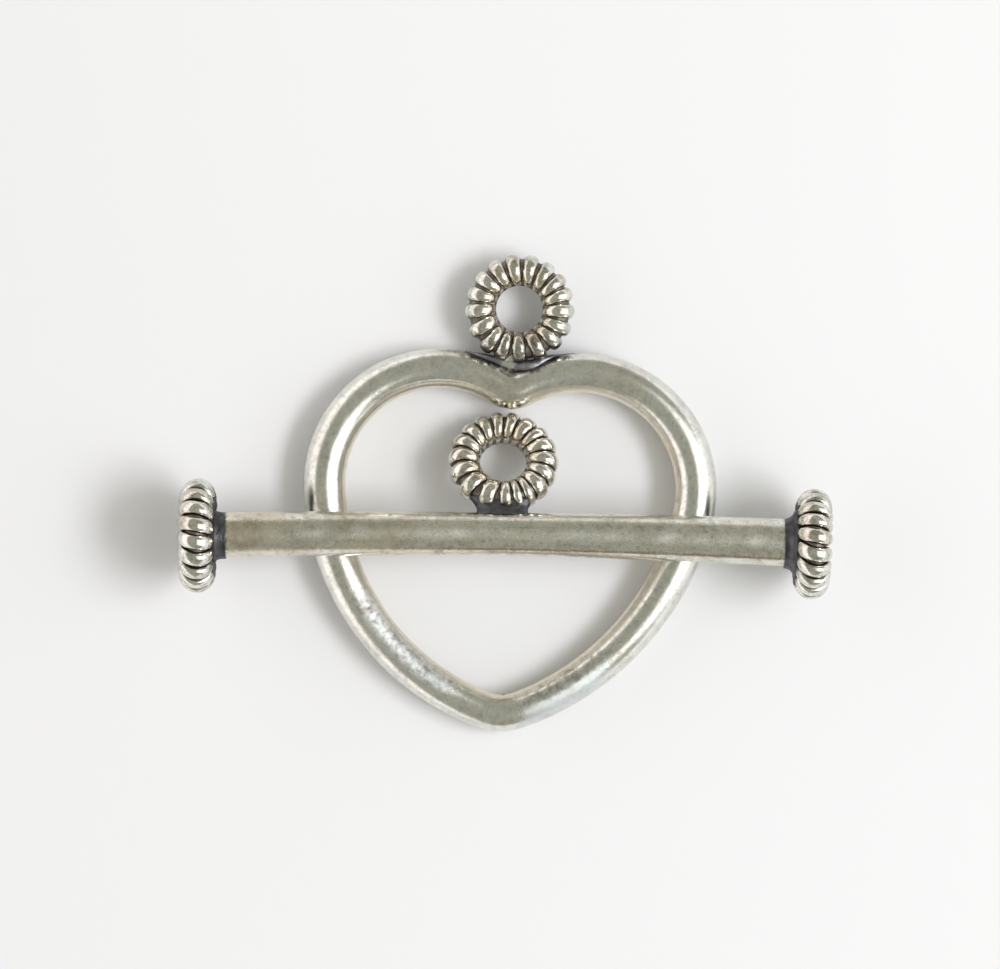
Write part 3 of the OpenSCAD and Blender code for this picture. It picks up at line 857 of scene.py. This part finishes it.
# Floor, light and camera
# How wide the floor is, and how far under the clasp's lowest point
FLOOR_SIZE, FLOOR_DROP = 3000, 0.01
PAPER, PAPER_SHADE = (0.855, 0.86, 0.888, 1), (0.84, 0.845, 0.873, 1)
HORIZON, OVERHEAD = (0.95, 0.95, 0.97, 1), (0.375, 0.375, 0.320, 1)
# Two pale bands of light: colour, the plane under which it lies, and how soft its edge is
LEFT_WALL = ((1.36, 1.28, 1.25, 1), (-0.88, 0.10, -1.0), 0.04)
RIGHT_BAND = ((1.08, 1.08, 1.10, 1), (0.48, 0.0, -1.0), 0.05)


def floor():
    n = Nodes("paper")
    place = n.add("ShaderNodeTexCoord").outputs["Object"]
    tooth = n.noise(place, 900.0, 4.0, 0.6)
    soft = n.noise(place, 12.0, 2.0)
    colour = n.mix(n.clamp(soft, 0.3, 0.7), PAPER, PAPER_SHADE)
    n.put(n.shader.inputs["Base Color"], colour)
    n.shader.inputs["Roughness"].default_value = 0.75
    n.shader.inputs["Specular IOR Level"].default_value = 0.2
    n.put(n.shader.inputs["Normal"], n.bump(tooth, 0.10, 0.05))
    bpy.ops.mesh.primitive_plane_add(size=FLOOR_SIZE * MM, location=(0, 0, -FLOOR_DROP * MM))
    obj = bpy.context.object
    obj.name = "floor"
    obj.data.materials.append(n.material)


def area_light(name, azimuth, elevation, distance, size, power, colour):
    """A panel, in metres, that faces the clasp from this azimuth and elevation in degrees."""
    light = bpy.data.lights.new(name, "AREA")
    light.shape, light.size, light.size_y = "RECTANGLE", size[0], size[1]
    light.energy, light.color = power, colour
    obj = bpy.data.objects.new(name, light)
    bpy.context.scene.collection.objects.link(obj)
    a, e = math.radians(azimuth), math.radians(elevation)
    ray = np.array([math.cos(a) * math.cos(e), math.sin(a) * math.cos(e), math.sin(e)])
    side = np.array([-math.sin(a), math.cos(a), 0.0])
    columns = np.stack([side, np.cross(ray, side), ray, ray * distance], -1)
    obj.matrix_world = Matrix(columns.tolist() + [[0, 0, 0, 1]])


def room():
    """A grey room overhead, paler towards the horizon, on the left and low on the right."""
    world = bpy.data.worlds.new("room")
    bpy.context.scene.world = world
    world.use_nodes = True
    tree = world.node_tree
    back = tree.nodes["Background"]
    ray = tree.nodes.new("ShaderNodeTexCoord").outputs["Generated"]
    split = tree.nodes.new("ShaderNodeSeparateXYZ")
    tree.links.new(ray, split.inputs[0])

    def ramp(value, low, high):
        node = tree.nodes.new("ShaderNodeMapRange")
        node.interpolation_type = "SMOOTHSTEP"
        tree.links.new(value, node.inputs["Value"])
        node.inputs["From Min"].default_value = low
        node.inputs["From Max"].default_value = high
        return node.outputs["Result"]

    def mix(share, a, b):
        node = tree.nodes.new("ShaderNodeMix")
        node.data_type = "RGBA"
        tree.links.new(share, node.inputs[0])
        for socket, value in ((node.inputs[6], a), (node.inputs[7], b)):
            if isinstance(value, tuple):
                socket.default_value = value
            else:
                tree.links.new(value, socket)
        return node.outputs[2]

    sky = mix(ramp(split.outputs[2], -0.01, 0.06), HORIZON, OVERHEAD)
    # The wall's top edge stands about 41 degrees up, and the band's about 26, under the window
    for colour, plane, edge in (LEFT_WALL, RIGHT_BAND):
        height = tree.nodes.new("ShaderNodeVectorMath")
        height.operation = "DOT_PRODUCT"
        tree.links.new(ray, height.inputs[0])
        height.inputs[1].default_value = plane
        sky = mix(ramp(height.outputs["Value"], -edge, edge), sky, colour)
    tree.links.new(sky, back.inputs["Color"])


floor()
room()
area_light(
    "window", azimuth=-6, elevation=47, distance=0.6, size=(0.62, 0.60), power=1.36,
    colour=(1.0, 0.995, 0.985),
)
area_light(
    "sun", azimuth=-6.5, elevation=49, distance=0.59, size=(0.32, 0.15), power=1.75,
    colour=(0.97, 0.97, 1.0),
)

# The camera looks straight down from this place, and sees this width at 1 mm above the table
CAMERA_X, CAMERA_Y, CAMERA_HEIGHT = -0.25, 0.4, 231.0
VIEW_WIDTH = 50.0
camera_data = bpy.data.cameras.new("camera")
camera_data.sensor_width = 36.0
camera_data.lens = camera_data.sensor_width * (CAMERA_HEIGHT - 1) / VIEW_WIDTH
camera_data.clip_start, camera_data.clip_end = 0.01, 10.0
camera = bpy.data.objects.new("camera", camera_data)
camera.location = (CAMERA_X * MM, CAMERA_Y * MM, CAMERA_HEIGHT * MM)
bpy.context.scene.collection.objects.link(camera)
bpy.context.scene.camera = camera
bpy.context.scene.view_settings.view_transform = "Standard"
